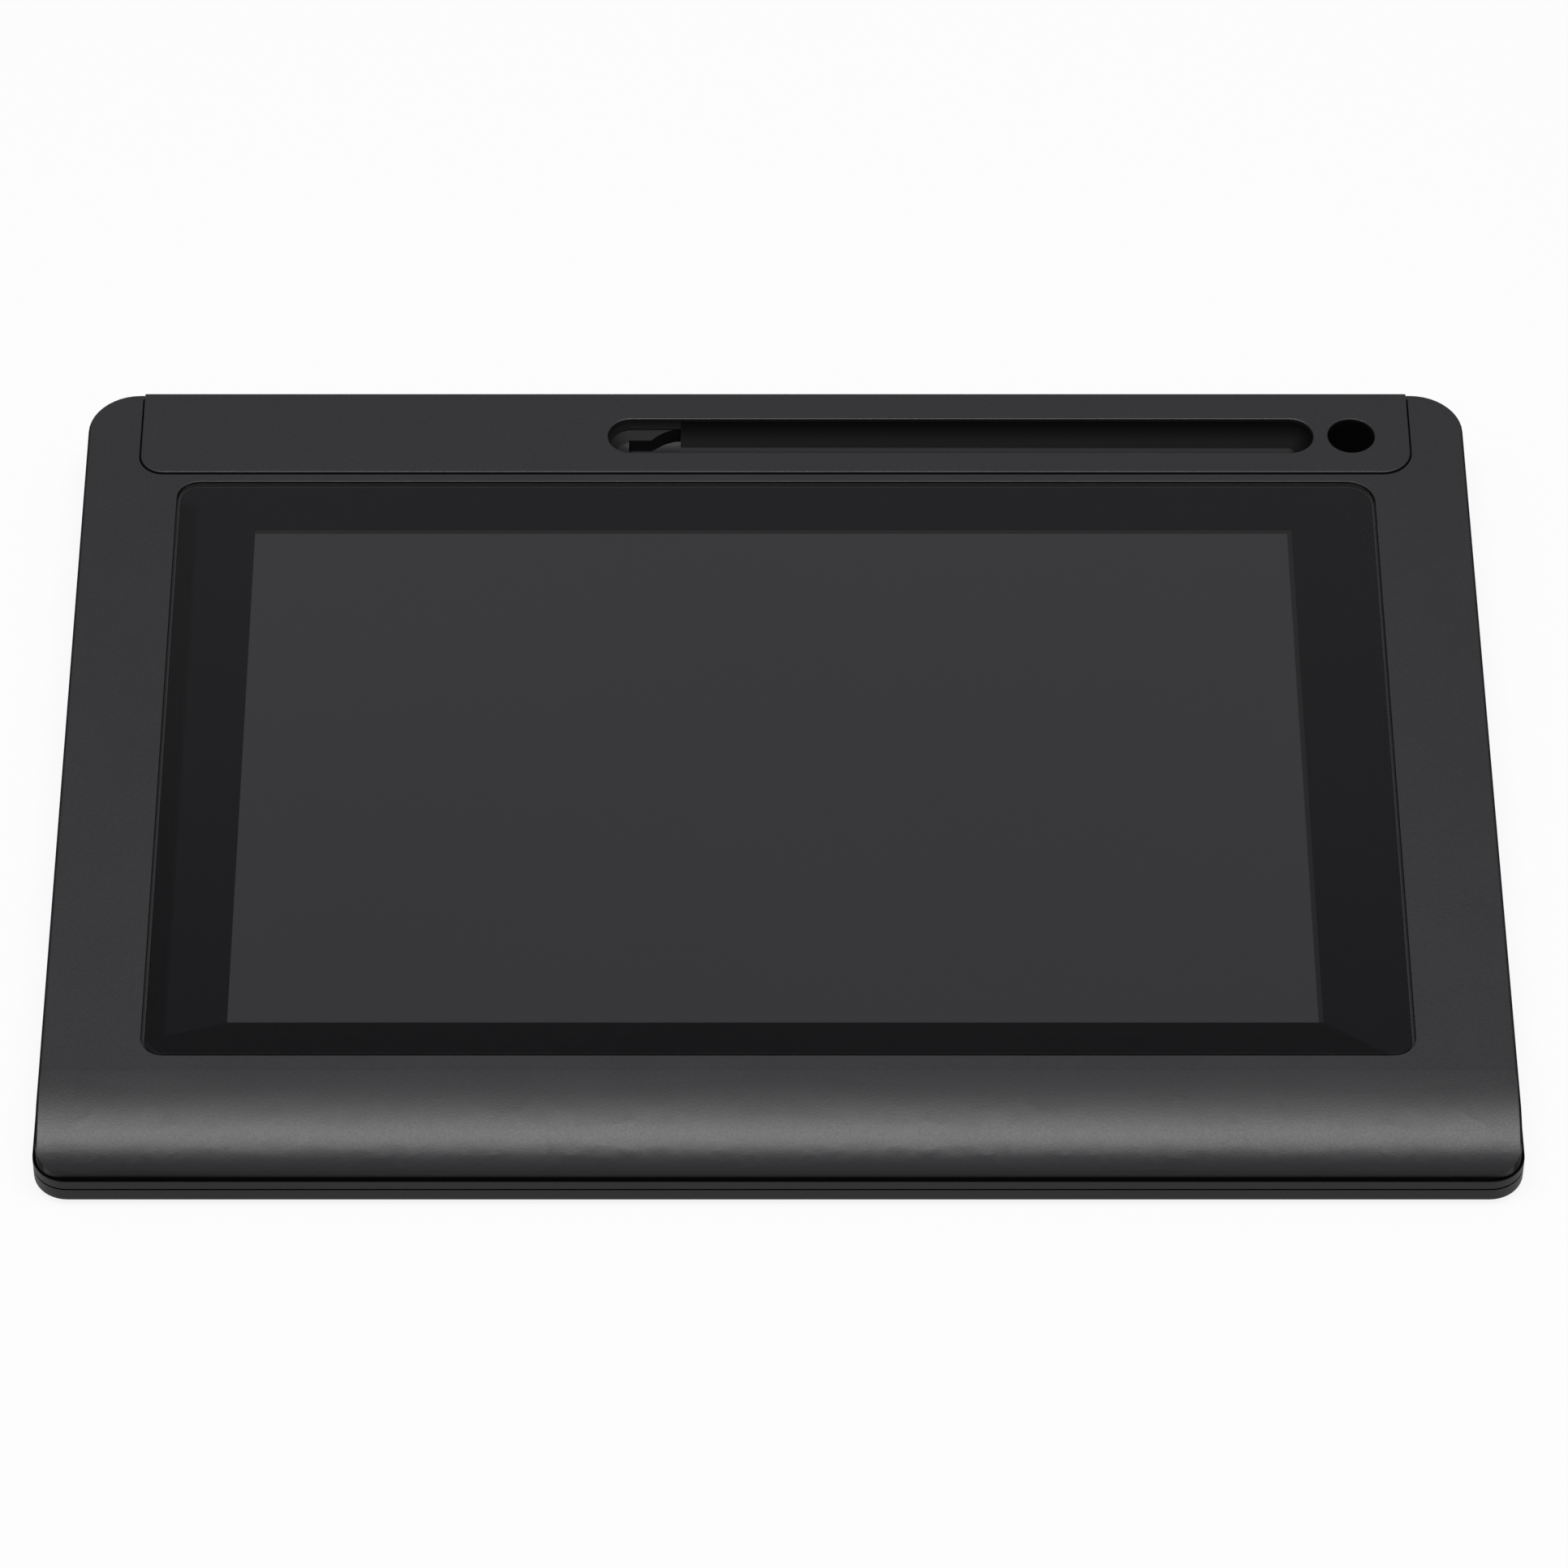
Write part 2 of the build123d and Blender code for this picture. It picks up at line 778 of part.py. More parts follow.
# Border print: the dark frame on the back of the glass, open over the display
with BuildPart() as border_print:
    with BuildSketch(Plane.XY.offset(z_print)):
        add(glass_outline(-print_inset))
    extrude(amount=print_thickness)
    block(
        active_left,
        active_right + window_margin_right,
        active_front,
        active_rear + window_margin_rear,
        z_print,
        z_glass,
        mode=Mode.SUBTRACT,
    )
border_print.part.label = "border_print"
export_step(border_print.part, "parts/border_print.step")

# Glass tape: double-sided foam tape between the print and the rebate of the top cover
with BuildPart() as glass_tape:
    with BuildSketch(Plane.XY.offset(z_ledge)):
        add(glass_outline(-tape_inset))
        add(glass_outline(-tape_inset - tape_width), mode=Mode.SUBTRACT)
    extrude(amount=tape_thickness)
glass_tape.part.label = "glass_tape"
export_step(glass_tape.part, "parts/glass_tape.step")

# LCD bezel: thin black frame on the module, open over the active area
with BuildPart() as lcd_bezel:
    block(module_left, module_right, module_near, module_far, z_bezel, z_print)
    block(active_left, active_right, active_front, active_rear, z_bezel, z_print, mode=Mode.SUBTRACT)
lcd_bezel.part.label = "lcd_bezel"
export_step(lcd_bezel.part, "parts/lcd_bezel.step")

# LCD cell: the two bonded panes of the display with their polarisers
inner_left = module_left + module_wall + stack_gap
inner_right = module_right - module_wall - stack_gap
inner_near = module_near + module_wall + stack_gap
inner_far = module_far - module_wall - stack_gap
with BuildPart() as lcd_cell:
    block(inner_left, inner_right, inner_near, inner_far, z_cell, z_bezel)
lcd_cell.part.label = "lcd_cell"
export_step(lcd_cell.part, "parts/lcd_cell.step")

# Light guide: clear plate with its diffuser films, beside the LED bar
with BuildPart() as light_guide:
    block(inner_left, inner_right, inner_near + led_bar_width + stack_gap, inner_far, z_guide, z_cell)
light_guide.part.label = "light_guide"
export_step(light_guide.part, "parts/light_guide.step")

# LED bar: the lamp strip along the user's edge of the light guide
with BuildPart() as led_bar:
    block(inner_left, inner_right, inner_near, inner_near + led_bar_width, z_guide, z_cell)
led_bar.part.label = "led_bar"
export_step(led_bar.part, "parts/led_bar.step")

# LCD tray: pressed steel pan that holds the display's layers
with BuildPart() as lcd_tray:
    block(module_left, module_right, module_near, module_far, z_module, z_bezel)
    block(
        module_left + module_wall,
        module_right - module_wall,
        module_near + module_wall,
        module_far - module_wall,
        z_guide,
        z_bezel,
        mode=Mode.SUBTRACT,
    )
lcd_tray.part.label = "lcd_tray"
export_step(lcd_tray.part, "parts/lcd_tray.step")

# LCD driver board: narrow board glued under the far edge of the LCD tray
module_centre_x = (module_left + module_right) / 2
with BuildPart() as lcd_driver_board:
    block(
        module_centre_x - driver_board_length / 2,
        module_centre_x + driver_board_length / 2,
        driver_near,
        driver_near + driver_board_depth,
        z_module - driver_board_thickness,
        z_module,
    )
lcd_driver_board.part.label = "lcd_driver_board"
export_step(lcd_driver_board.part, "parts/lcd_driver_board.step")

# Pen sensor board: the grid that finds the pen, flat against the LCD tray
with BuildPart() as sensor_board:
    block(sensor_left, sensor_right, sensor_near, sensor_far, z_sensor, z_module)
sensor_board.part.label = "sensor_board"
export_step(sensor_board.part, "parts/sensor_board.step")

# Shield sheet: magnetic foil on the back of the sensor board
with BuildPart() as shield_sheet:
    block(sensor_left, sensor_right, sensor_near, sensor_far - sensor_tab, z_shield, z_sensor)
shield_sheet.part.label = "shield_sheet"
export_step(shield_sheet.part, "parts/shield_sheet.step")

# Main board: cut back round both receptacles, screwed to four posts
port_mouth_y = case_rear - port_recess
port_back_y = port_mouth_y - port_length
with BuildPart() as main_board:
    block(board_left, board_right, board_front_y, board_rear, z_board, z_board_top)
    for port_x in (signal_port_x, power_port_x):
        block(
            port_x - port_width / 2 - board_port_gap,
            port_x + port_width / 2 + board_port_gap,
            port_back_y - board_port_gap,
            board_rear,
            z_board,
            z_board_top,
            mode=Mode.SUBTRACT,
        )
    rod(board_screw_places, board_screw_radius + screw_clearance, z_board, z_board_top, Mode.SUBTRACT)
main_board.part.label = "main_board"
export_step(main_board.part, "parts/main_board.step")

# Chips on the main board, outside the shield can
with BuildPart() as board_chips:
    for chip in range(chip_count):
        chip_x = board_left + chip_inset_x + chip_pitch * chip
        with Locations((chip_x, board_front_y + chip_inset_y, z_board_top + chip_height / 2)):
            Box(chip_size, chip_size, chip_height)
board_chips.part.label = "board_chips"
export_step(board_chips.part, "parts/board_chips.step")

# Shield can over the processor: folded tinplate lid, open underneath
with BuildPart() as shield_can:
    with Locations((board_right - can_inset_x, board_front_y + can_inset_y, z_board_top + can_height / 2)):
        Box(can_width, can_depth, can_height)
    fillet(shield_can.edges().filter_by(Axis.Z), can_corner_radius)
    offset(amount=-can_wall, openings=shield_can.faces().sort_by(Axis.Z)[0])
shield_can.part.label = "shield_can"
export_step(shield_can.part, "parts/shield_can.step")

# Cable connectors on the main board, one under the end of each flat cable
lcd_drop_y = driver_near + driver_board_depth + flex_drop
sensor_drop_y = sensor_far - sensor_tab + flex_tab
button_flex_y = button_y + button_flex_offset
button_connector_x = board_right - button_connector_inset
z_connector = z_board_top + flex_connector_height
with BuildPart() as cable_connectors:
    for connector_x, connector_y, connector_length in (
        (lcd_flex_x, lcd_drop_y + flex_connector_depth / 2, lcd_flex_width),
        (sensor_flex_x, sensor_drop_y - flex_connector_depth / 2, sensor_flex_width),
    ):
        with Locations((connector_x, connector_y, (z_board_top + z_connector) / 2)):
            Box(connector_length + flex_connector_margin, flex_connector_depth, flex_connector_height)
    with Locations((button_connector_x, button_flex_y, (z_board_top + z_connector) / 2)):
        Box(flex_connector_depth, button_flex_width + flex_connector_margin, flex_connector_height)
cable_connectors.part.label = "cable_connectors"
export_step(cable_connectors.part, "parts/cable_connectors.step")

# Flat cables: thin polyimide strips from each board down to its connector
half_flex = flex_thickness / 2
z_driver_under = z_module - driver_board_thickness - half_flex
lcd_route = [
    (driver_near + flex_tab, z_driver_under),
    (lcd_drop_y, z_driver_under),
    (lcd_drop_y, z_connector + half_flex),
    (lcd_drop_y + flex_connector_depth, z_connector + half_flex),
]
sensor_route = [
    (sensor_far - flex_tab, z_sensor - half_flex),
    (sensor_drop_y, z_sensor - half_flex),
    (sensor_drop_y, z_connector + half_flex),
    (sensor_drop_y - flex_connector_depth, z_connector + half_flex),
]
button_drop_x = board_right - half_flex
button_route = [
    (board_x - half_flex, z_deck + button_flex_rise),
    (board_x - half_flex, z_deck + half_flex),
    (button_drop_x, z_deck + half_flex),
    (button_drop_x, z_connector + half_flex),
    (button_connector_x - flex_connector_depth / 2, z_connector + half_flex),
]
with BuildPart() as lcd_flex:
    add(flat_cable(Plane.YZ.offset(lcd_flex_x), lcd_route, lcd_flex_width))
lcd_flex.part.label = "lcd_flex"
export_step(lcd_flex.part, "parts/lcd_flex.step")
with BuildPart() as sensor_flex:
    add(flat_cable(Plane.YZ.offset(sensor_flex_x), sensor_route, sensor_flex_width))
sensor_flex.part.label = "sensor_flex"
export_step(sensor_flex.part, "parts/sensor_flex.step")
with BuildPart() as button_flex:
    add(flat_cable(Plane.XZ.offset(-button_flex_y), button_route, button_flex_width))
button_flex.part.label = "button_flex"
export_step(button_flex.part, "parts/button_flex.step")

# Receptacles: a drawn steel shell with a round-ended mouth, and the tongue inside it
for port_name, port_x in (("signal_port", signal_port_x), ("power_port", power_port_x)):
    with BuildPart() as shell:
        with BuildSketch(Plane.XZ.offset(-port_mouth_y)):
            with Locations((port_x, z_port)):
                SlotOverall(port_width, port_height)
        extrude(amount=port_length)
        with BuildSketch(Plane.XZ.offset(-port_mouth_y)):
            with Locations((port_x, z_port)):
                SlotOverall(port_width - 2 * port_wall, port_height - 2 * port_wall)
        extrude(amount=port_length - port_base, mode=Mode.SUBTRACT)
    shell.part.label = f"{port_name}_shell"
    export_step(shell.part, f"parts/{port_name}_shell.step")
    with BuildPart() as tongue:
        with BuildSketch(Plane.XZ.offset(-port_back_y - port_base)):
            with Locations((port_x, z_port)):
                Rectangle(tongue_width, tongue_height)
        extrude(amount=-(port_length - port_base - tongue_recess))
        fillet(tongue.edges().filter_by(Axis.Z), tongue_height / 2)
    tongue.part.label = f"{port_name}_tongue"
    export_step(tongue.part, f"parts/{port_name}_tongue.step")

# Button board: small upright board held between two slotted posts
with BuildPart() as button_board:
    block(
        board_x,
        board_x + button_board_thickness,
        button_y - button_board_length / 2,
        button_y + button_board_length / 2,
        z_deck,
        z_plate_under - roof_gap,
    )
button_board.part.label = "button_board"
export_step(button_board.part, "parts/button_board.step")

# Switch: its body on the button board, hollow round the plunger
with BuildPart() as button_switch:
    with Locations((switch_x + switch_depth / 2, button_y, button_z)):
        Box(switch_depth, switch_length, switch_height)
    hollow_x = flange_x - plunger_length - plunger_sunk - button_travel - flange_gap
    x_rod(hollow_x, flange_x, button_y, button_z, plunger_radius + plunger_fit, Mode.SUBTRACT)
button_switch.part.label = "button_switch"
export_step(button_switch.part, "parts/button_switch.step")

# Switch plunger: moves with the button
with BuildPart() as switch_plunger:
    x_rod(flange_x - plunger_length - plunger_sunk, flange_x, button_y, button_z, plunger_radius)
switch_plunger.part.label = "switch_plunger"
export_step(switch_plunger.part, "parts/switch_plunger.step")

# Power button: long cap through the side wall, with a flange that stops behind the wall
with BuildPart() as power_button:
    with BuildSketch(Plane.YZ.offset(flange_x)):
        with Locations((button_y, button_z)):
            SlotOverall(button_length, button_width)
    extrude(amount=cover_side + button_proud - flange_x)
    fillet(power_button.edges().group_by(Axis.X)[-1], button_edge_radius)
    with BuildSketch(Plane.YZ.offset(flange_x)):
        with Locations((button_y, button_z)):
            SlotOverall(button_length + 2 * button_flange_margin, button_width + 2 * button_flange_margin)
    extrude(amount=button_flange)
power_button.part.label = "power_button"
export_step(power_button.part, "parts/power_button.step")

# Security slot plate: steel, stands on the deck behind the slot in the left-hand wall
with BuildPart() as security_slot_plate:
    block(
        cover_wall - cover_side,
        cover_wall - cover_side + lock_plate_thickness,
        lock_y - lock_length / 2 - lock_plate_margin,
        lock_y + lock_length / 2 + lock_plate_margin,
        z_deck,
        z_plate_under - roof_gap,
    )
    with BuildSketch(Plane.YZ.offset(-cover_side)):
        with Locations((lock_y, lock_z)):
            RectangleRounded(lock_length, lock_width, lock_corner_radius)
    extrude(amount=cover_wall + lock_plate_thickness + cut_overrun, mode=Mode.SUBTRACT)
security_slot_plate.part.label = "security_slot_plate"
export_step(security_slot_plate.part, "parts/security_slot_plate.step")


def add_screws(places, radius, length, head_radius, head_height, z_seat, head_up):
    """Add pan-head screws with a cross recess; the head lies above or below its seat."""
    shank_end = z_seat - length if head_up else z_seat + length
    head_end = z_seat + head_height if head_up else z_seat - head_height
    rod(places, radius, min(z_seat, shank_end), max(z_seat, shank_end))
    rod(places, head_radius, min(z_seat, head_end), max(z_seat, head_end))
    drive_z = head_end - (head_end - z_seat) * cross_depth / 2
    cross_length = head_radius * cross_share
    with Locations(*[(x, y, drive_z) for x, y in places]):
        Box(cross_length, cross_width, head_height * cross_depth, mode=Mode.SUBTRACT)
        Box(cross_width, cross_length, head_height * cross_depth, mode=Mode.SUBTRACT)


# Case screws: from under the case, through the deck into the top cover
with BuildPart() as case_screws:
    add_screws(
        case_screw_places,
        case_screw_radius,
        case_screw_length,
        case_screw_head_radius,
        case_screw_head_height,
        z_screw_seat,
        False,
    )
case_screws.part.label = "case_screws"
export_step(case_screws.part, "parts/case_screws.step")

# Frame screws: hold the deck to the top cover
with BuildPart() as frame_screws:
    add_screws(
        frame_screw_places,
        case_screw_radius,
        deck_thickness + frame_screw_length,
        case_screw_head_radius,
        frame_screw_head_height,
        z_deck_under,
        False,
    )
frame_screws.part.label = "frame_screws"
export_step(frame_screws.part, "parts/frame_screws.step")

# Board screws: hold the main board to its posts
with BuildPart() as board_screws:
    add_screws(
        board_screw_places,
        board_screw_radius,
        board_thickness + board_standoff + board_screw_bite - board_screw_end_gap,
        board_screw_head_radius,
        board_screw_head_height,
        z_board_top,
        True,
    )
board_screws.part.label = "board_screws"
export_step(board_screws.part, "parts/board_screws.step")

# Rubber feet: four round-ended pads in shallow pockets
for foot_name, foot_place in foot_places.items():
    with BuildPart() as foot:
        with BuildSketch():
            with Locations(foot_place):
                SlotOverall(foot_length, foot_width)
        extrude(amount=foot_proud + foot_recess)
        fillet(foot.edges().group_by(Axis.Z)[0], foot_edge_radius)
    foot.part.label = foot_name
    export_step(foot.part, f"parts/{foot_name}.step")

# Rating plate: bare metal plate in its recess
with BuildPart() as rating_plate:
    with BuildSketch(Plane.XY.offset(z_case)):
        with Locations((0, plate_y)):
            RectangleRounded(plate_length, plate_width, plate_corner_radius)
    extrude(amount=plate_thickness)
rating_plate.part.label = "rating_plate"
export_step(rating_plate.part, "parts/rating_plate.step")

# Tilt legs: ribbed slab with a round pivot end, a steel pin and a rubber pad at the tip
for leg_side, leg_x in (("left", -leg_centre_x), ("right", leg_centre_x)):
    with BuildPart() as leg:
        block(
            leg_x - leg_width / 2,
            leg_x + leg_width / 2,
            leg_tip_y + leg_pad_depth,
            leg_axis_y,
            leg_axis_z - leg_thickness / 2,
            leg_axis_z + leg_thickness / 2,
        )
        x_rod(leg_x - leg_width / 2, leg_x + leg_width / 2, leg_axis_y, leg_axis_z, leg_thickness / 2)
        with Locations((leg_x, (leg_tip_y + leg_axis_y) / 2, leg_axis_z + leg_thickness / 2)):
            with GridLocations(leg_width / leg_hollow_count, 0, leg_hollow_count, 1):
                Box(leg_hollow_width, leg_length / 2, leg_hollow_depth * 2, mode=Mode.SUBTRACT)
        with Locations((leg_x, leg_tip_y + leg_pad_depth + grip_pitch * 2, leg_axis_z - leg_thickness / 2)):
            with GridLocations(0, grip_pitch, 1, grip_count):
                Box(grip_length, grip_width, grip_depth * 2, mode=Mode.SUBTRACT)
        x_rod(
            leg_x - leg_width / 2,
            leg_x + leg_width / 2,
            leg_axis_y,
            leg_axis_z,
            pin_bore_radius,
            Mode.SUBTRACT,
        )
    leg.part.label = f"{leg_side}_leg"
    export_step(leg.part, f"parts/{leg_side}_leg.step")
    with BuildPart() as leg_pad:
        block(
            leg_x - leg_width / 2,
            leg_x + leg_width / 2,
            leg_tip_y,
            leg_tip_y + leg_pad_depth,
            leg_axis_z - leg_thickness / 2,
            leg_axis_z + leg_thickness / 2,
        )
        fillet(leg_pad.edges().filter_by(Axis.X).group_by(Axis.Y)[0], leg_pad_round)
    leg_pad.part.label = f"{leg_side}_leg_pad"
    export_step(leg_pad.part, f"parts/{leg_side}_leg_pad.step")
    with BuildPart() as leg_pin:
        x_rod(leg_x - pin_reach, leg_x + pin_reach, leg_axis_y, leg_axis_z, leg_pin_radius)
    leg_pin.part.label = f"{leg_side}_leg_pin"
    export_step(leg_pin.part, f"parts/{leg_side}_leg_pin.step")

# Pen tray: raised strip with skirts, the pen groove, the tip recess and four pegs
groove_near = groove_y - groove_radius
groove_far = groove_y + groove_radius
z_recess = z_tray - recess_depth
recess_half = groove_radius - recess_rim
recess_start = groove_left + groove_radius
well_left = groove_left + well_start
well_right = well_left + well_length
with BuildPart() as pen_tray:
    with BuildSketch(Plane.XY.offset(z_cover)):
        add(tray_outline(0, tray_rear))
    extrude(amount=z_tray - z_cover)
    fillet(pen_tray.edges().group_by(Axis.Z)[-1].sort_by(Axis.Y)[-1], tray_rear_edge_radius)
    fillet(pen_tray.edges().group_by(Axis.Z)[-1].sort_by(Axis.Y)[:-1], tray_edge_radius)
    with BuildSketch(Plane.XY.offset(z_cover)):
        add(tray_outline(-tray_skirt, tray_rear - tray_skirt))
    extrude(amount=z_tray - tray_plate - z_cover, mode=Mode.SUBTRACT)
    add(half_capsule(groove_radius + groove_wall))
    block(
        groove_left - recess_wall,
        recess_right + recess_wall,
        groove_near - recess_wall,
        groove_far + recess_wall,
        z_tray - well_depth - recess_wall,
        z_tray - tray_plate,
    )
    rod(peg_places, peg_radius, z_peg, z_tray - tray_plate)
    rod([(pen_well_x, groove_y)], pen_well_radius, z_tray - tray_plate, z_tray, Mode.SUBTRACT)
    fillet(edges_between(pen_tray, groove_right + 1, tray_half - 1, groove_near, groove_far), pen_well_rim)
    add(half_capsule(groove_radius), mode=Mode.SUBTRACT)
    fillet(edges_between(pen_tray, groove_left, groove_right, groove_near, groove_far), groove_rim)
    with BuildSketch(Plane.XY.offset(z_recess)) as recess_form:
        with Locations(((recess_start + recess_right) / 2, groove_y)):
            Rectangle(recess_right - recess_start, 2 * recess_half)
        with Locations((recess_start, groove_y)):
            Circle(recess_half)
    extrude(amount=-recess_step, mode=Mode.SUBTRACT)
    with BuildSketch(Plane.XY.offset(z_recess - recess_step)):
        add(recess_form.sketch)
    extrude(amount=recess_depth + recess_step - funnel_depth, taper=funnel_angle, mode=Mode.SUBTRACT)
    with BuildSketch(Plane.XY.offset(z_recess)):
        with BuildLine():
            far_flare = TangentArc(
                (recess_right, groove_y + recess_half),
                (well_right, groove_y + well_half_width),
                tangent=(-1, 0),
            )
            near_flare = TangentArc(
                (recess_right, groove_y + flare_half_width),
                (well_right, groove_y),
                tangent=(-1, 0),
            )
            Line(far_flare @ 0, near_flare @ 0)
            Polyline(
                near_flare @ 1,
                (well_right, groove_y - well_half_width),
                (well_left, groove_y - well_half_width),
                (well_left, groove_y + well_half_width),
                far_flare @ 1,
            )
        make_face()
    extrude(amount=recess_depth - well_depth, mode=Mode.SUBTRACT)
pen_tray.part.label = "pen_tray"
export_step(pen_tray.part, "parts/pen_tray.step")

# Pen well: deep cup under the round hole of the tray
with BuildPart() as pen_well_cup:
    z_cup = z_floor + pen_well_clearance
    rod([(pen_well_x, groove_y)], pen_well_radius + pen_well_wall, z_cup, z_tray - tray_plate)
    rod([(pen_well_x, groove_y)], pen_well_radius, z_cup + pen_well_floor, z_tray - tray_plate, Mode.SUBTRACT)
pen_well_cup.part.label = "pen_well_cup"
export_step(pen_well_cup.part, "parts/pen_well_cup.step")
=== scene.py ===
from math import pi, radians
import bpy
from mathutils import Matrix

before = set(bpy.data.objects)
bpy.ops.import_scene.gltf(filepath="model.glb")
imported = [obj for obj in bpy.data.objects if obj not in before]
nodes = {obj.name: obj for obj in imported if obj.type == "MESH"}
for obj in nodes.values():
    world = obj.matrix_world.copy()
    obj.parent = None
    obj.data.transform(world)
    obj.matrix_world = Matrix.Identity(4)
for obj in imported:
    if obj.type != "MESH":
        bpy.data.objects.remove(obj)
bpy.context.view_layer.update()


# Bottom cover and middle frame: two moulded shells of dark grey plastic with a fine even grain.
# The middle frame shows as the band between the two seams, and the bottom cover as the lowest
# band and the whole underside. Screws pull both up against the top cover.
class Signal:
    """An output socket of a material's nodes. Arithmetic on signals adds Math nodes."""

    def __init__(self, finish, socket):
        self.finish = finish
        self.socket = socket

    def worked(self, operation, *terms):
        numbered = dict(enumerate(terms))
        return self.finish.node("ShaderNodeMath", {"operation": operation}, numbered)

    def __add__(self, other):
        return self.worked("ADD", self, other)

    def __radd__(self, other):
        return self.worked("ADD", other, self)

    def __sub__(self, other):
        return self.worked("SUBTRACT", self, other)

    def __rsub__(self, other):
        return self.worked("SUBTRACT", other, self)

    def __mul__(self, other):
        return self.worked("MULTIPLY", self, other)

    def __rmul__(self, other):
        return self.worked("MULTIPLY", other, self)

    def __or__(self, other):
        """The larger of the two, which joins the areas that two signals mark."""
        return self.worked("MAXIMUM", self, other)

    def __ror__(self, other):
        return self.worked("MAXIMUM", other, self)

    def __abs__(self):
        return self.worked("ABSOLUTE", self)

    def __gt__(self, other):
        return self.worked("GREATER_THAN", self, other)

    def __lt__(self, other):
        return self.worked("LESS_THAN", self, other)


class Finish:
    """The nodes of one material or world, added one by one. Sockets go by name or number."""

    def __init__(self, owner):
        self.owner = owner
        owner.use_nodes = True
        self.tree = owner.node_tree
        self.tree.nodes.clear()

    def node(self, kind, settings=None, inputs=None, output=0):
        """Add a node, with its settings first and then the value or link of each input."""
        made = self.tree.nodes.new(kind)
        for name, value in (settings or {}).items():
            setattr(made, name, value)
        for name, value in (inputs or {}).items():
            if isinstance(value, Signal):
                self.tree.links.new(value.socket, made.inputs[name])
            else:
                made.inputs[name].default_value = value
        return Signal(self, made.outputs[output]) if made.outputs else None

    def spot(self):
        """The place of a point of the piece, in metres."""
        return self.node("ShaderNodeTexCoord", output="Object")

    def place(self, axis):
        """Where a point of the piece lies along X, Y or Z, in metres."""
        return self.node("ShaderNodeSeparateXYZ", None, {"Vector": self.spot()}, axis)

    def facing(self, axis):
        """How much the surface faces along X, Y or Z: 1 is straight that way, 0 is across it."""
        normal = self.node("ShaderNodeNewGeometry", output="Normal")
        return self.node("ShaderNodeSeparateXYZ", None, {"Vector": normal}, axis)

    def noise(self, size, detail=2.0, spot=None):
        """Noise from 0 to 1 whose features are about this size, in metres."""
        inputs = {"Vector": spot or self.spot(), "Scale": 1 / size, "Detail": detail}
        return self.node("ShaderNodeTexNoise", None, inputs)

    def ramp(self, value, start, end):
        """Goes evenly from 0, where the value is at start, to 1, where it is at end."""
        return self.node("ShaderNodeMapRange", None, {0: value, 1: start, 2: end})

    def blend(self, share, first, second):
        """Colour that goes from the first to the second as share goes from 0 to 1."""
        settings = {"data_type": "RGBA", "clamp_factor": True}
        return self.node("ShaderNodeMix", settings, {0: share, 6: (*first, 1), 7: (*second, 1)}, 2)

    def dimmed(self, colour, share):
        """Colour that goes to black as share goes from 0 to 1."""
        inputs = {0: colour, "Scale": 1 - share}
        return self.node("ShaderNodeVectorMath", {"operation": "SCALE"}, inputs)

    def bump(self, height, depth):
        """Relief of this depth, in metres, as height goes from 0 to 1."""
        return self.node("ShaderNodeBump", None, {"Height": height, "Distance": depth})

    def surface(self, **inputs):
        """Principled surface. Base_Color stands for the socket Base Color, and so on."""
        named = {name.replace("_", " "): value for name, value in inputs.items()}
        shader = self.node("ShaderNodeBsdfPrincipled", None, named)
        self.node("ShaderNodeOutputMaterial", None, {"Surface": shader})
        return self.owner


def new_finish(name):
    """Nodes of a new material."""
    return Finish(bpy.data.materials.new(name))


def paint(material, *names):
    """Give the named nodes of the frame this material in all their slots."""
    for name in names:
        for slot in nodes[name].material_slots:
            slot.material = material


def times(factor, colour):
    """Colour that is this many times as bright."""
    return tuple(factor * part for part in colour)


def give_or_take(middle, signal, swing):
    """From half the swing under middle to half the swing over it, as signal goes from 0 to 1."""
    return middle + (signal - 0.5) * swing


def moulded(
    name,
    grey,
    roughness,
    shine,
    grain_size=0.0004,
    grain_depth=0.00002,
    painted_shade_part=None,
    painted_shade_look=(0.0, 0.0, 0.0),
):
    """Moulded plastic: a spark-eroded grain, and a faint cloudiness in colour and in polish.

    Where the mask passed in nears 1, shade is painted on: the surface is darker, rougher and less
    glossy, each by its share in the look passed with it. It is made less glossy as a dark metal,
    which mirrors little, so the painted shade also takes away its reflection.
    """
    cloud_size = 0.02
    grain_share = 0.6
    unevenness = 0.2
    finish = new_finish(name)
    grain = finish.noise(grain_size, 3)
    cloud = finish.noise(cloud_size)
    pattern = cloud * (1 - grain_share) + grain * grain_share
    colour = finish.blend(pattern, times(1 - unevenness, grey), times(1 + unevenness, grey))
    rough = give_or_take(roughness, grain, swing=0.14)
    rough = give_or_take(rough, cloud, swing=0.04)
    shaded_gloss_loss = 0.0
    # Painted shade: darker colour, more roughness and less gloss where the mask is.
    if painted_shade_part:
        darker, rougher, duller = painted_shade_look
        shade = painted_shade_part(finish)
        colour = finish.dimmed(colour, shade * darker)
        rough = rough + shade * rougher
        shaded_gloss_loss = shade * duller
    return finish.surface(
        Base_Color=colour,
        Metallic=shaded_gloss_loss,
        Roughness=rough,
        Specular_IOR_Level=shine,
        Normal=finish.bump(grain, grain_depth),
    )


case_grey = (0.018, 0.018, 0.0208)
lower_case_plastic = moulded("lower_case_plastic", case_grey, roughness=0.5, shine=0.2)
paint(lower_case_plastic, "bottom_cover", "mid_frame")
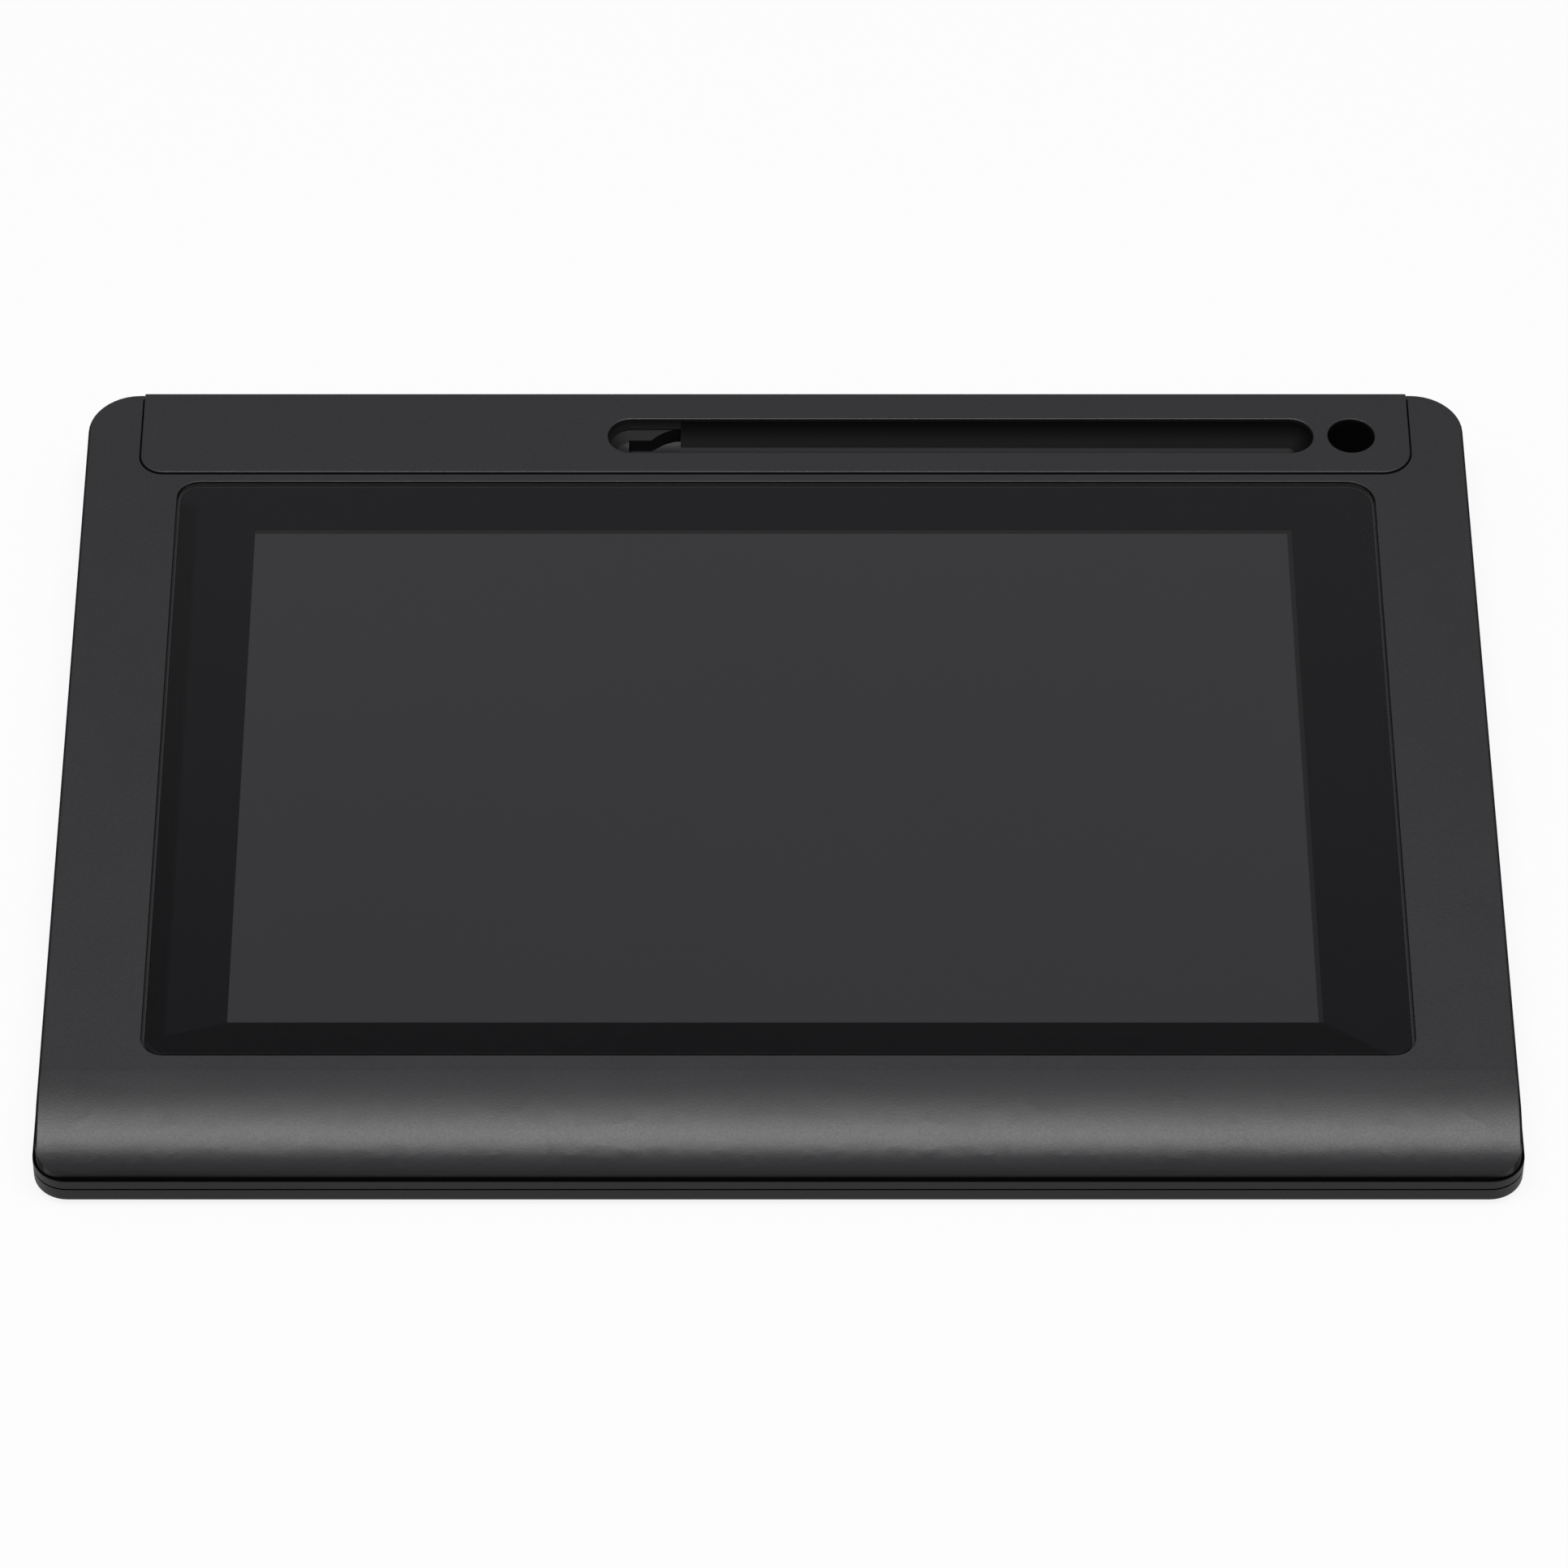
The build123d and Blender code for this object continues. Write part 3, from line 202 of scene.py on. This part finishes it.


# Seam gaskets: two rings of soft black rubber, set back a little from the case's sides,
# that give the two black seam lines. Their colour, blacker than rubber, is painted shade for the
# shadow in the seam gaps. They are squeezed between the shells.
def rubber(name, grey, roughness, mottle=0.0015, shine=0.25):
    """Moulded rubber: matt, with a slight bloom that pales it in patches."""
    bloom_brightness = 1.5
    bloom_depth = 0.00003
    finish = new_finish(name)
    bloom = finish.noise(mottle, 4)
    return finish.surface(
        Base_Color=finish.blend(bloom, grey, times(bloom_brightness, grey)),
        Roughness=give_or_take(roughness, bloom, swing=0.15),
        Specular_IOR_Level=shine,
        Normal=finish.bump(bloom, bloom_depth),
    )


# Painted shade: near-black and hardly glossy, for the shadow in the seam gaps.
seam_shade_black = (0.0008, 0.0008, 0.0008)
gasket_rubber = rubber("gasket_rubber", seam_shade_black, roughness=0.9, shine=0.03)
paint(gasket_rubber, "lower_seam_gasket", "upper_seam_gasket")


# Feet: four round-ended rubber pads glued into shallow pockets of the bottom cover.
# The tilt legs' tips have pads of the same rubber.
foot_grey = (0.022, 0.022, 0.022)
foot_rubber = rubber("foot_rubber", foot_grey, roughness=0.75)
paint(foot_rubber, "foot_front_left", "foot_front_right", "foot_rear_left", "foot_rear_right")
paint(foot_rubber, "left_leg_pad", "right_leg_pad")


# Tilt legs: two ribbed slabs of the case's plastic that fold out of pockets in the underside.
# Each turns on a ground steel pin.
leg_plastic = moulded("leg_plastic", case_grey, roughness=0.45, shine=0.3)
paint(leg_plastic, "left_leg", "right_leg")


def plated_steel(name, grey, roughness, streaks=0.0006):
    """Plated or ground steel: fine streaks along X that vary its polish, and a few duller spots."""
    drawn_out = (0.1, 1, 1)
    streak_depth = 0.000008
    tarnish_size = 0.004
    tarnish_brightness = 0.8
    finish = new_finish(name)
    stretched = finish.node(
        "ShaderNodeMapping", {"vector_type": "POINT"}, {"Vector": finish.spot(), "Scale": drawn_out}
    )
    streak = finish.noise(streaks, 3, stretched)
    tarnish = finish.noise(tarnish_size, 3)
    return finish.surface(
        Base_Color=finish.blend(tarnish, grey, times(tarnish_brightness, grey)),
        Metallic=1.0,
        Roughness=give_or_take(roughness, streak, swing=0.2),
        Normal=finish.bump(streak, streak_depth),
    )


pin_steel = plated_steel("pin_steel", (0.55, 0.55, 0.56), roughness=0.3)
paint(pin_steel, "left_leg_pin", "right_leg_pin")


# Rating plate: a bare satin aluminium plate, glued into a recess in the middle of the underside.
# It is left blank.
paint(plated_steel("plate_metal", (0.42, 0.42, 0.43), roughness=0.42), "rating_plate")


# Main board and the small boards: glass-fibre boards under dark green solder mask, with the
# copper tracks showing through as a paler relief. They are screwed, glued or slotted in.
def wave(finish, direction, scale):
    """Bands across X or Y, from 0 to 1 and back once every pi / (10 * scale) metres."""
    settings = {"bands_direction": direction, "wave_profile": "SIN"}
    inputs = {"Vector": finish.spot(), "Scale": scale, "Distortion": 0.0}
    return finish.node("ShaderNodeTexWave", settings, inputs)


def solder_mask(name, track_width):
    """Solder mask over tracks: bands of a wave along X and Y, cut into runs by coarse noise."""
    run_length = 12 * track_width
    track_depth = 0.00002
    ripple_size = 0.002
    green, track_green = (0.008, 0.045, 0.02), (0.014, 0.085, 0.035)
    finish = new_finish(name)
    scale = pi / (20 * track_width)
    routed = finish.noise(run_length, 0) > 0.5
    bands = [wave(finish, direction, scale) > 0.5 for direction in ("X", "Y")]
    track = bands[0] * routed + bands[1] * (1 - routed)
    return finish.surface(
        Base_Color=finish.blend(track, green, track_green),
        Roughness=give_or_take(0.35, finish.noise(ripple_size), swing=0.1),
        Coat_Weight=0.3,
        Normal=finish.bump(track, track_depth),
    )


circuit_board = solder_mask("circuit_board", track_width=0.0008)
paint(circuit_board, "main_board", "lcd_driver_board", "button_board", "sensor_board")


# Parts on the boards: black moulded chips, the switch's body and the receptacles' tongues,
# ivory cable connectors, and the switch's plunger. They are soldered on or clipped in.
part_black = (0.012, 0.012, 0.012)
moulded_black = moulded("moulded_black", part_black, roughness=0.45, shine=0.4)
paint(moulded_black, "board_chips", "button_switch")
tongue_plastic = moulded("tongue_plastic", part_black, roughness=0.35, shine=0.5)
paint(tongue_plastic, "signal_port_tongue", "power_port_tongue")
ivory = (0.62, 0.58, 0.48)
connector_ivory = moulded("connector_ivory", ivory, roughness=0.45, shine=0.5)
paint(connector_ivory, "cable_connectors", "switch_plunger")


# Shield can, receptacle shells, display tray and security plate: pressed from thin plated steel.
# The shells are soldered to the board, and the plate stands behind the slot in the side wall.
sheet_steel = plated_steel("sheet_steel", (0.58, 0.58, 0.6), roughness=0.34)
paint(sheet_steel, "shield_can", "signal_port_shell", "power_port_shell")
paint(sheet_steel, "lcd_tray", "security_slot_plate")


# Shield sheet: a dull magnetic foil on the back of the pen sensor board.
# It is rolled, so its streaks run one way.
magnetic_foil = plated_steel("magnetic_foil", (0.3, 0.3, 0.31), roughness=0.5, streaks=0.0012)
paint(magnetic_foil, "shield_sheet")


# Flat cables: amber polyimide film with copper conductors inside, from each board down to
# a connector on the main board.
def film(name):
    """Amber film: fine ribs along the cable where the conductors are, and a soft gloss."""
    rib_scale = 160.0
    rib_depth = 0.00002
    amber, pale_amber = (0.30, 0.11, 0.02), (0.42, 0.19, 0.05)
    finish = new_finish(name)
    rib = wave(finish, "X", rib_scale)
    return finish.surface(
        Base_Color=finish.blend(rib, amber, pale_amber),
        Roughness=0.25 + rib * 0.1,
        Normal=finish.bump(rib, rib_depth),
    )


paint(film("amber_film"), "lcd_flex", "sensor_flex", "button_flex")


# Light guide and LED bar: a clear acrylic plate under white diffuser films, lit from the bar
# along the user's edge. Both lie in the display's steel tray.
def diffuser(name, colour):
    """Milky plastic with the faint dots of a printed diffuser."""
    dots_per_metre = 1200.0
    dot_brightness = 0.85
    finish = new_finish(name)
    inputs = {"Vector": finish.spot(), "Scale": dots_per_metre}
    dots = finish.node("ShaderNodeTexVoronoi", None, inputs)
    return finish.surface(
        Base_Color=finish.blend(dots, colour, times(dot_brightness, colour)),
        Roughness=0.3 + dots * 0.1,
    )


paint(diffuser("acrylic", (0.8, 0.81, 0.82)), "light_guide")
paint(diffuser("lamp_bar", (0.75, 0.7, 0.5)), "led_bar")


# LCD cell: two bonded panes under a soft anti-glare film. Switched off, it is a plain dark grey.
# Its thin black bezel shows at the right and rear edges of the window.
def display_film(name, dark, light, roughness):
    """Anti-glare film: a very fine sparkle in its polish, over a colour that hardly drifts.

    It mirrors nothing of its own, since the cover glass above it does that.
    """
    sparkle_size = 0.00025
    drift_size = 0.12
    finish = new_finish(name)
    sparkle = finish.noise(sparkle_size, 1)
    return finish.surface(
        Base_Color=finish.blend(finish.noise(drift_size, 1), dark, light),
        Roughness=give_or_take(roughness, sparkle, swing=0.1),
        Specular_IOR_Level=0.0,
    )


cell_dark, cell_light = (0.0388, 0.0382, 0.0418), (0.0418, 0.0412, 0.0448)
paint(display_film("lcd_glass", cell_dark, cell_light, roughness=0.6), "lcd_cell")
bezel_dark, bezel_light = (0.017, 0.017, 0.0175), (0.019, 0.019, 0.0195)
paint(display_film("lcd_black", bezel_dark, bezel_light, roughness=0.6), "lcd_bezel")


# Glass tape and border print: black foam tape holds the glass in the top cover's rebate, and
# black ink, printed on the back of the glass, makes the dark frame round the display.
foam_black = (0.012, 0.012, 0.012)
paint(rubber("foam_tape", foam_black, roughness=0.9, mottle=0.0006), "glass_tape")
print_dark, print_light = (0.0078, 0.0076, 0.0092), (0.0091, 0.0089, 0.0106)
paint(display_film("black_print", print_dark, print_light, roughness=0.5), "border_print")


# Cover glass: one clear pane, flush with the top cover, with its upper edge eased.
# It lets everything through but what it mirrors, from its outer faces only.
def clear_glass(name):
    """Clear glass: a mirror as strong as Fresnel's law gives, with a faint smear in its polish."""
    refraction = 1.5
    smear_size = 0.03
    finish = new_finish(name)
    mirrored = finish.node("ShaderNodeFresnel", None, {"IOR": refraction})
    outer = 1 - finish.node("ShaderNodeNewGeometry", output="Backfacing")
    seen_through = finish.node("ShaderNodeBsdfTransparent")
    polish = 0.1 + finish.noise(smear_size, 3) * 0.05
    gloss = finish.node("ShaderNodeBsdfGlossy", None, {"Roughness": polish})
    mix = {0: mirrored * outer, 1: seen_through, 2: gloss}
    shader = finish.node("ShaderNodeMixShader", None, mix)
    finish.node("ShaderNodeOutputMaterial", None, {"Surface": shader})
    return finish.owner


paint(clear_glass("cover_glass"), "cover_glass")


# Top cover: the large grained shell round the glass, flat on top and rolled over at its front,
# where it catches the light. The display and the deck hang in it, on screws from below.
# Painted shade: the steep faces, such as the foot of the roll, the outer half of the rounded side
# edges, the front corners and a thin line down the roll's sides are painted darker and duller.
def steep_shade(finish):
    """Painted shade on steep faces: grows from 0 to half as the surface turns from a slope of 44
    degrees to one of 65.
    """
    sloping, steep = 0.72, 0.42
    return finish.ramp(finish.facing("Z"), sloping, steep) * 0.5


def steep_and_rim_shade(finish):
    """Painted shade: as on steep faces, and 1 on the outer half of the rounded side edges and at
    the front corners.

    A painted dark line half a millimetre wide, on what faces up, runs on down the roll's sides to
    its corners.
    """
    rounding_foot = 0.01425
    upper = finish.place("Z") > rounding_foot
    corner_start, corner_full = -0.0985, -0.1015
    corner = finish.ramp(finish.place("Y"), corner_start, corner_full)
    sideways = finish.facing("X")
    tilt_start, tilt_full = 0.2, 0.5
    rim_shade = finish.ramp(sideways * sideways, tilt_start, tilt_full) * (upper + corner)

    line_inside, line_outside = 0.14555, 0.14575
    upright, tilted_up = 0.03, 0.12
    line_end, line_full = -0.1025, -0.1
    outermost = finish.ramp(abs(finish.place("X")), line_inside, line_outside)
    line = outermost * finish.ramp(finish.facing("Z"), upright, tilted_up)
    line = line * finish.ramp(finish.place("Y"), line_end, line_full)
    return steep_shade(finish) | (rim_shade | line)


cover_grey = (0.0185, 0.0183, 0.0213)
cover_grain = 0.00045
case_plastic = moulded(
    "case_plastic",
    cover_grey,
    roughness=0.44,
    shine=0.7,
    grain_size=cover_grain,
    painted_shade_part=steep_and_rim_shade,
    painted_shade_look=(0.8, 0.5, 0.6),
)
paint(case_plastic, "top_cover")


# Power button: a long satin cap of the same plastic in the right-hand wall.
# It slides in the wall and rests on the plunger of the switch behind it.
button_grey = (0.024, 0.024, 0.0255)
button_plastic = moulded(
    "button_plastic", button_grey, roughness=0.4, shine=0.5, grain_size=0.0003, grain_depth=0.00001
)
paint(button_plastic, "power_button")


# Pen tray: a separate moulding along the rear edge, of the case's plastic, that stands a little
# proud of it. The well's cup is smooth inside, and as glossy as the mould left it.
# Painted shade: the pen groove's sides and recess, and the tray's steep faces, are painted darker
# and duller.
def steep_and_groove_shade(finish):
    """Painted shade: as on steep faces, and 1 on the sides of the pen groove, less along its bottom
    and in its recess.
    """
    front_edge, rear_edge = 0.0862, 0.0983
    recess_left, recess_right, groove_right = -0.05, -0.0202, 0.13
    across = finish.place("Y")
    along = finish.place("X")
    within = (across > front_edge) * (across < rear_edge)
    within = within * (along > recess_left) * (along < groove_right)

    # The groove's level bottom gets less painted shade, since it faces the lamp.
    nearly_level, level = 0.97, 1.0
    bottom = finish.ramp(finish.facing("Z"), nearly_level, level)
    darkness = 0.5 + (along > recess_right) * (0.5 - bottom * 0.7)
    rim_height, shaded_height = 0.0153, 0.0145
    groove_shade = within * darkness * finish.ramp(finish.place("Z"), rim_height, shaded_height)
    return steep_shade(finish) | groove_shade


tray_plastic = moulded(
    "tray_plastic",
    cover_grey,
    roughness=0.44,
    shine=0.7,
    grain_size=cover_grain,
    painted_shade_part=steep_and_groove_shade,
    painted_shade_look=(0.7, 0.3, 0.8),
)
paint(tray_plastic, "pen_tray")
well_black = (0.006, 0.006, 0.0065)
well_plastic = moulded(
    "well_plastic", well_black, roughness=0.18, shine=0.5, grain_size=0.004, grain_depth=0.00001
)
paint(well_plastic, "pen_well_cup")


# Screws: plated steel with cross recesses. They come up from under the case and under the deck,
# and go down into the main board's posts.
screw_steel = plated_steel("screw_steel", (0.36, 0.36, 0.37), roughness=0.38)
paint(screw_steel, "case_screws", "frame_screws", "board_screws")


# Stage: a plain white floor that the camera sees as nearly white, and that keeps the object's
# shadow. It lies a hair below the feet, and is clear from below, so that their soles show.
floor_half = 6.0
floor_level = -0.00005
floor_mesh = bpy.data.meshes.new("floor")
floor_corners = [(-floor_half, -floor_half, floor_level), (floor_half, -floor_half, floor_level)]
floor_corners += [(floor_half, floor_half, floor_level), (-floor_half, floor_half, floor_level)]
floor_mesh.from_pydata(floor_corners, [], [(0, 1, 2, 3)])
floor = bpy.data.objects.new("floor", floor_mesh)
bpy.context.scene.collection.objects.link(floor)
paper = new_finish("floor_paper")
paper_cloud_size = 0.3
paper_cloud = paper.noise(paper_cloud_size)
paper_white = paper.blend(paper_cloud, (0.96, 0.96, 0.96), (0.98, 0.98, 0.98))
matt = paper.node("ShaderNodeBsdfDiffuse", None, {"Color": paper_white})
glow = paper.node("ShaderNodeEmission", None, {"Color": (1, 1, 1, 1), "Strength": 1.0})
looked_at = paper.node("ShaderNodeLightPath", output="Is Camera Ray")
mirrored = paper.node("ShaderNodeLightPath", output="Is Glossy Ray")
passed = paper.node("ShaderNodeLightPath", output="Is Transmission Ray")
glow_share = 0.88
seen = (looked_at + mirrored + passed) * glow_share
upper_side = paper.node("ShaderNodeMixShader", None, {0: seen, 1: matt, 2: glow})
from_below = paper.node("ShaderNodeNewGeometry", output="Backfacing")
clear = paper.node("ShaderNodeBsdfTransparent")
sheet = paper.node("ShaderNodeMixShader", None, {0: from_below, 1: upper_side, 2: clear})
paper.node("ShaderNodeOutputMaterial", None, {"Surface": sheet})
floor_mesh.materials.append(paper.owner)


# Lamp: one wide soft lamp overhead. At a lamp_level of 1, white paper under it would be white.
# The cover glass is left out of its light, which it would mirror over the display.
lamp_height = 1.9
lamp_level = 0.86
lamp_shape = bpy.data.lights.new("overhead_lamp", "AREA")
lamp_shape.shape = "RECTANGLE"
lamp_shape.size = 1.7
lamp_shape.size_y = 0.8
lamp_shape.energy = lamp_level * (pi * lamp_height) ** 2
lamp = bpy.data.objects.new("overhead_lamp", lamp_shape)
lamp.location = (0, -0.15, lamp_height)
bpy.context.scene.collection.objects.link(lamp)
no_glare = bpy.data.collections.new("no_glare")
no_glare.objects.link(nodes["cover_glass"])
no_glare.collection_objects[0].light_linking.link_state = "EXCLUDE"
lamp.light_linking.receiver_collection = no_glare


# Room: dim all round, palest halfway up its walls. Each pair in room_levels is a height, as the
# sine of the angle above the floor, and how bright the room is there.
room_levels = ((0.1, 0.09), (0.3, 0.16), (0.5, 0.3), (0.7, 0.4), (0.74, 0.26), (0.79, 0.09))
darkest = 0.06
room = Finish(bpy.data.worlds.new("room"))
heading = room.node("ShaderNodeTexCoord", output="Generated")
rise = room.node("ShaderNodeSeparateXYZ", None, {"Vector": heading}, "Z")
level = room.node("ShaderNodeFloatCurve", None, {"Value": rise})
curve = level.socket.node.mapping
points = curve.curves[0].points
for height, value in room_levels:
    points.new(height, value)
points[0].location = (0, darkest)
points[-1].location = (1, darkest)
curve.update()
light = room.node("ShaderNodeBackground", None, {"Strength": level})
room.node("ShaderNodeOutputWorld", None, {"Surface": light})
bpy.context.scene.world = room.owner


# Camera: it looks down on the front of the pad, from where the photograph was taken.
# The numbers come from the pad's outline in the photograph.
camera_lens = bpy.data.cameras.new("camera")
camera_lens.lens = 181.45
camera_lens.shift_x = 0.02865
camera_lens.clip_end = 50
camera = bpy.data.objects.new("camera", camera_lens)
camera.location = (-0.00776, -1.093975, 1.2056)
camera.rotation_euler = (radians(42.38), 0, 0)
bpy.context.scene.collection.objects.link(camera)
bpy.context.scene.camera = camera
bpy.context.scene.view_settings.view_transform = "Standard"
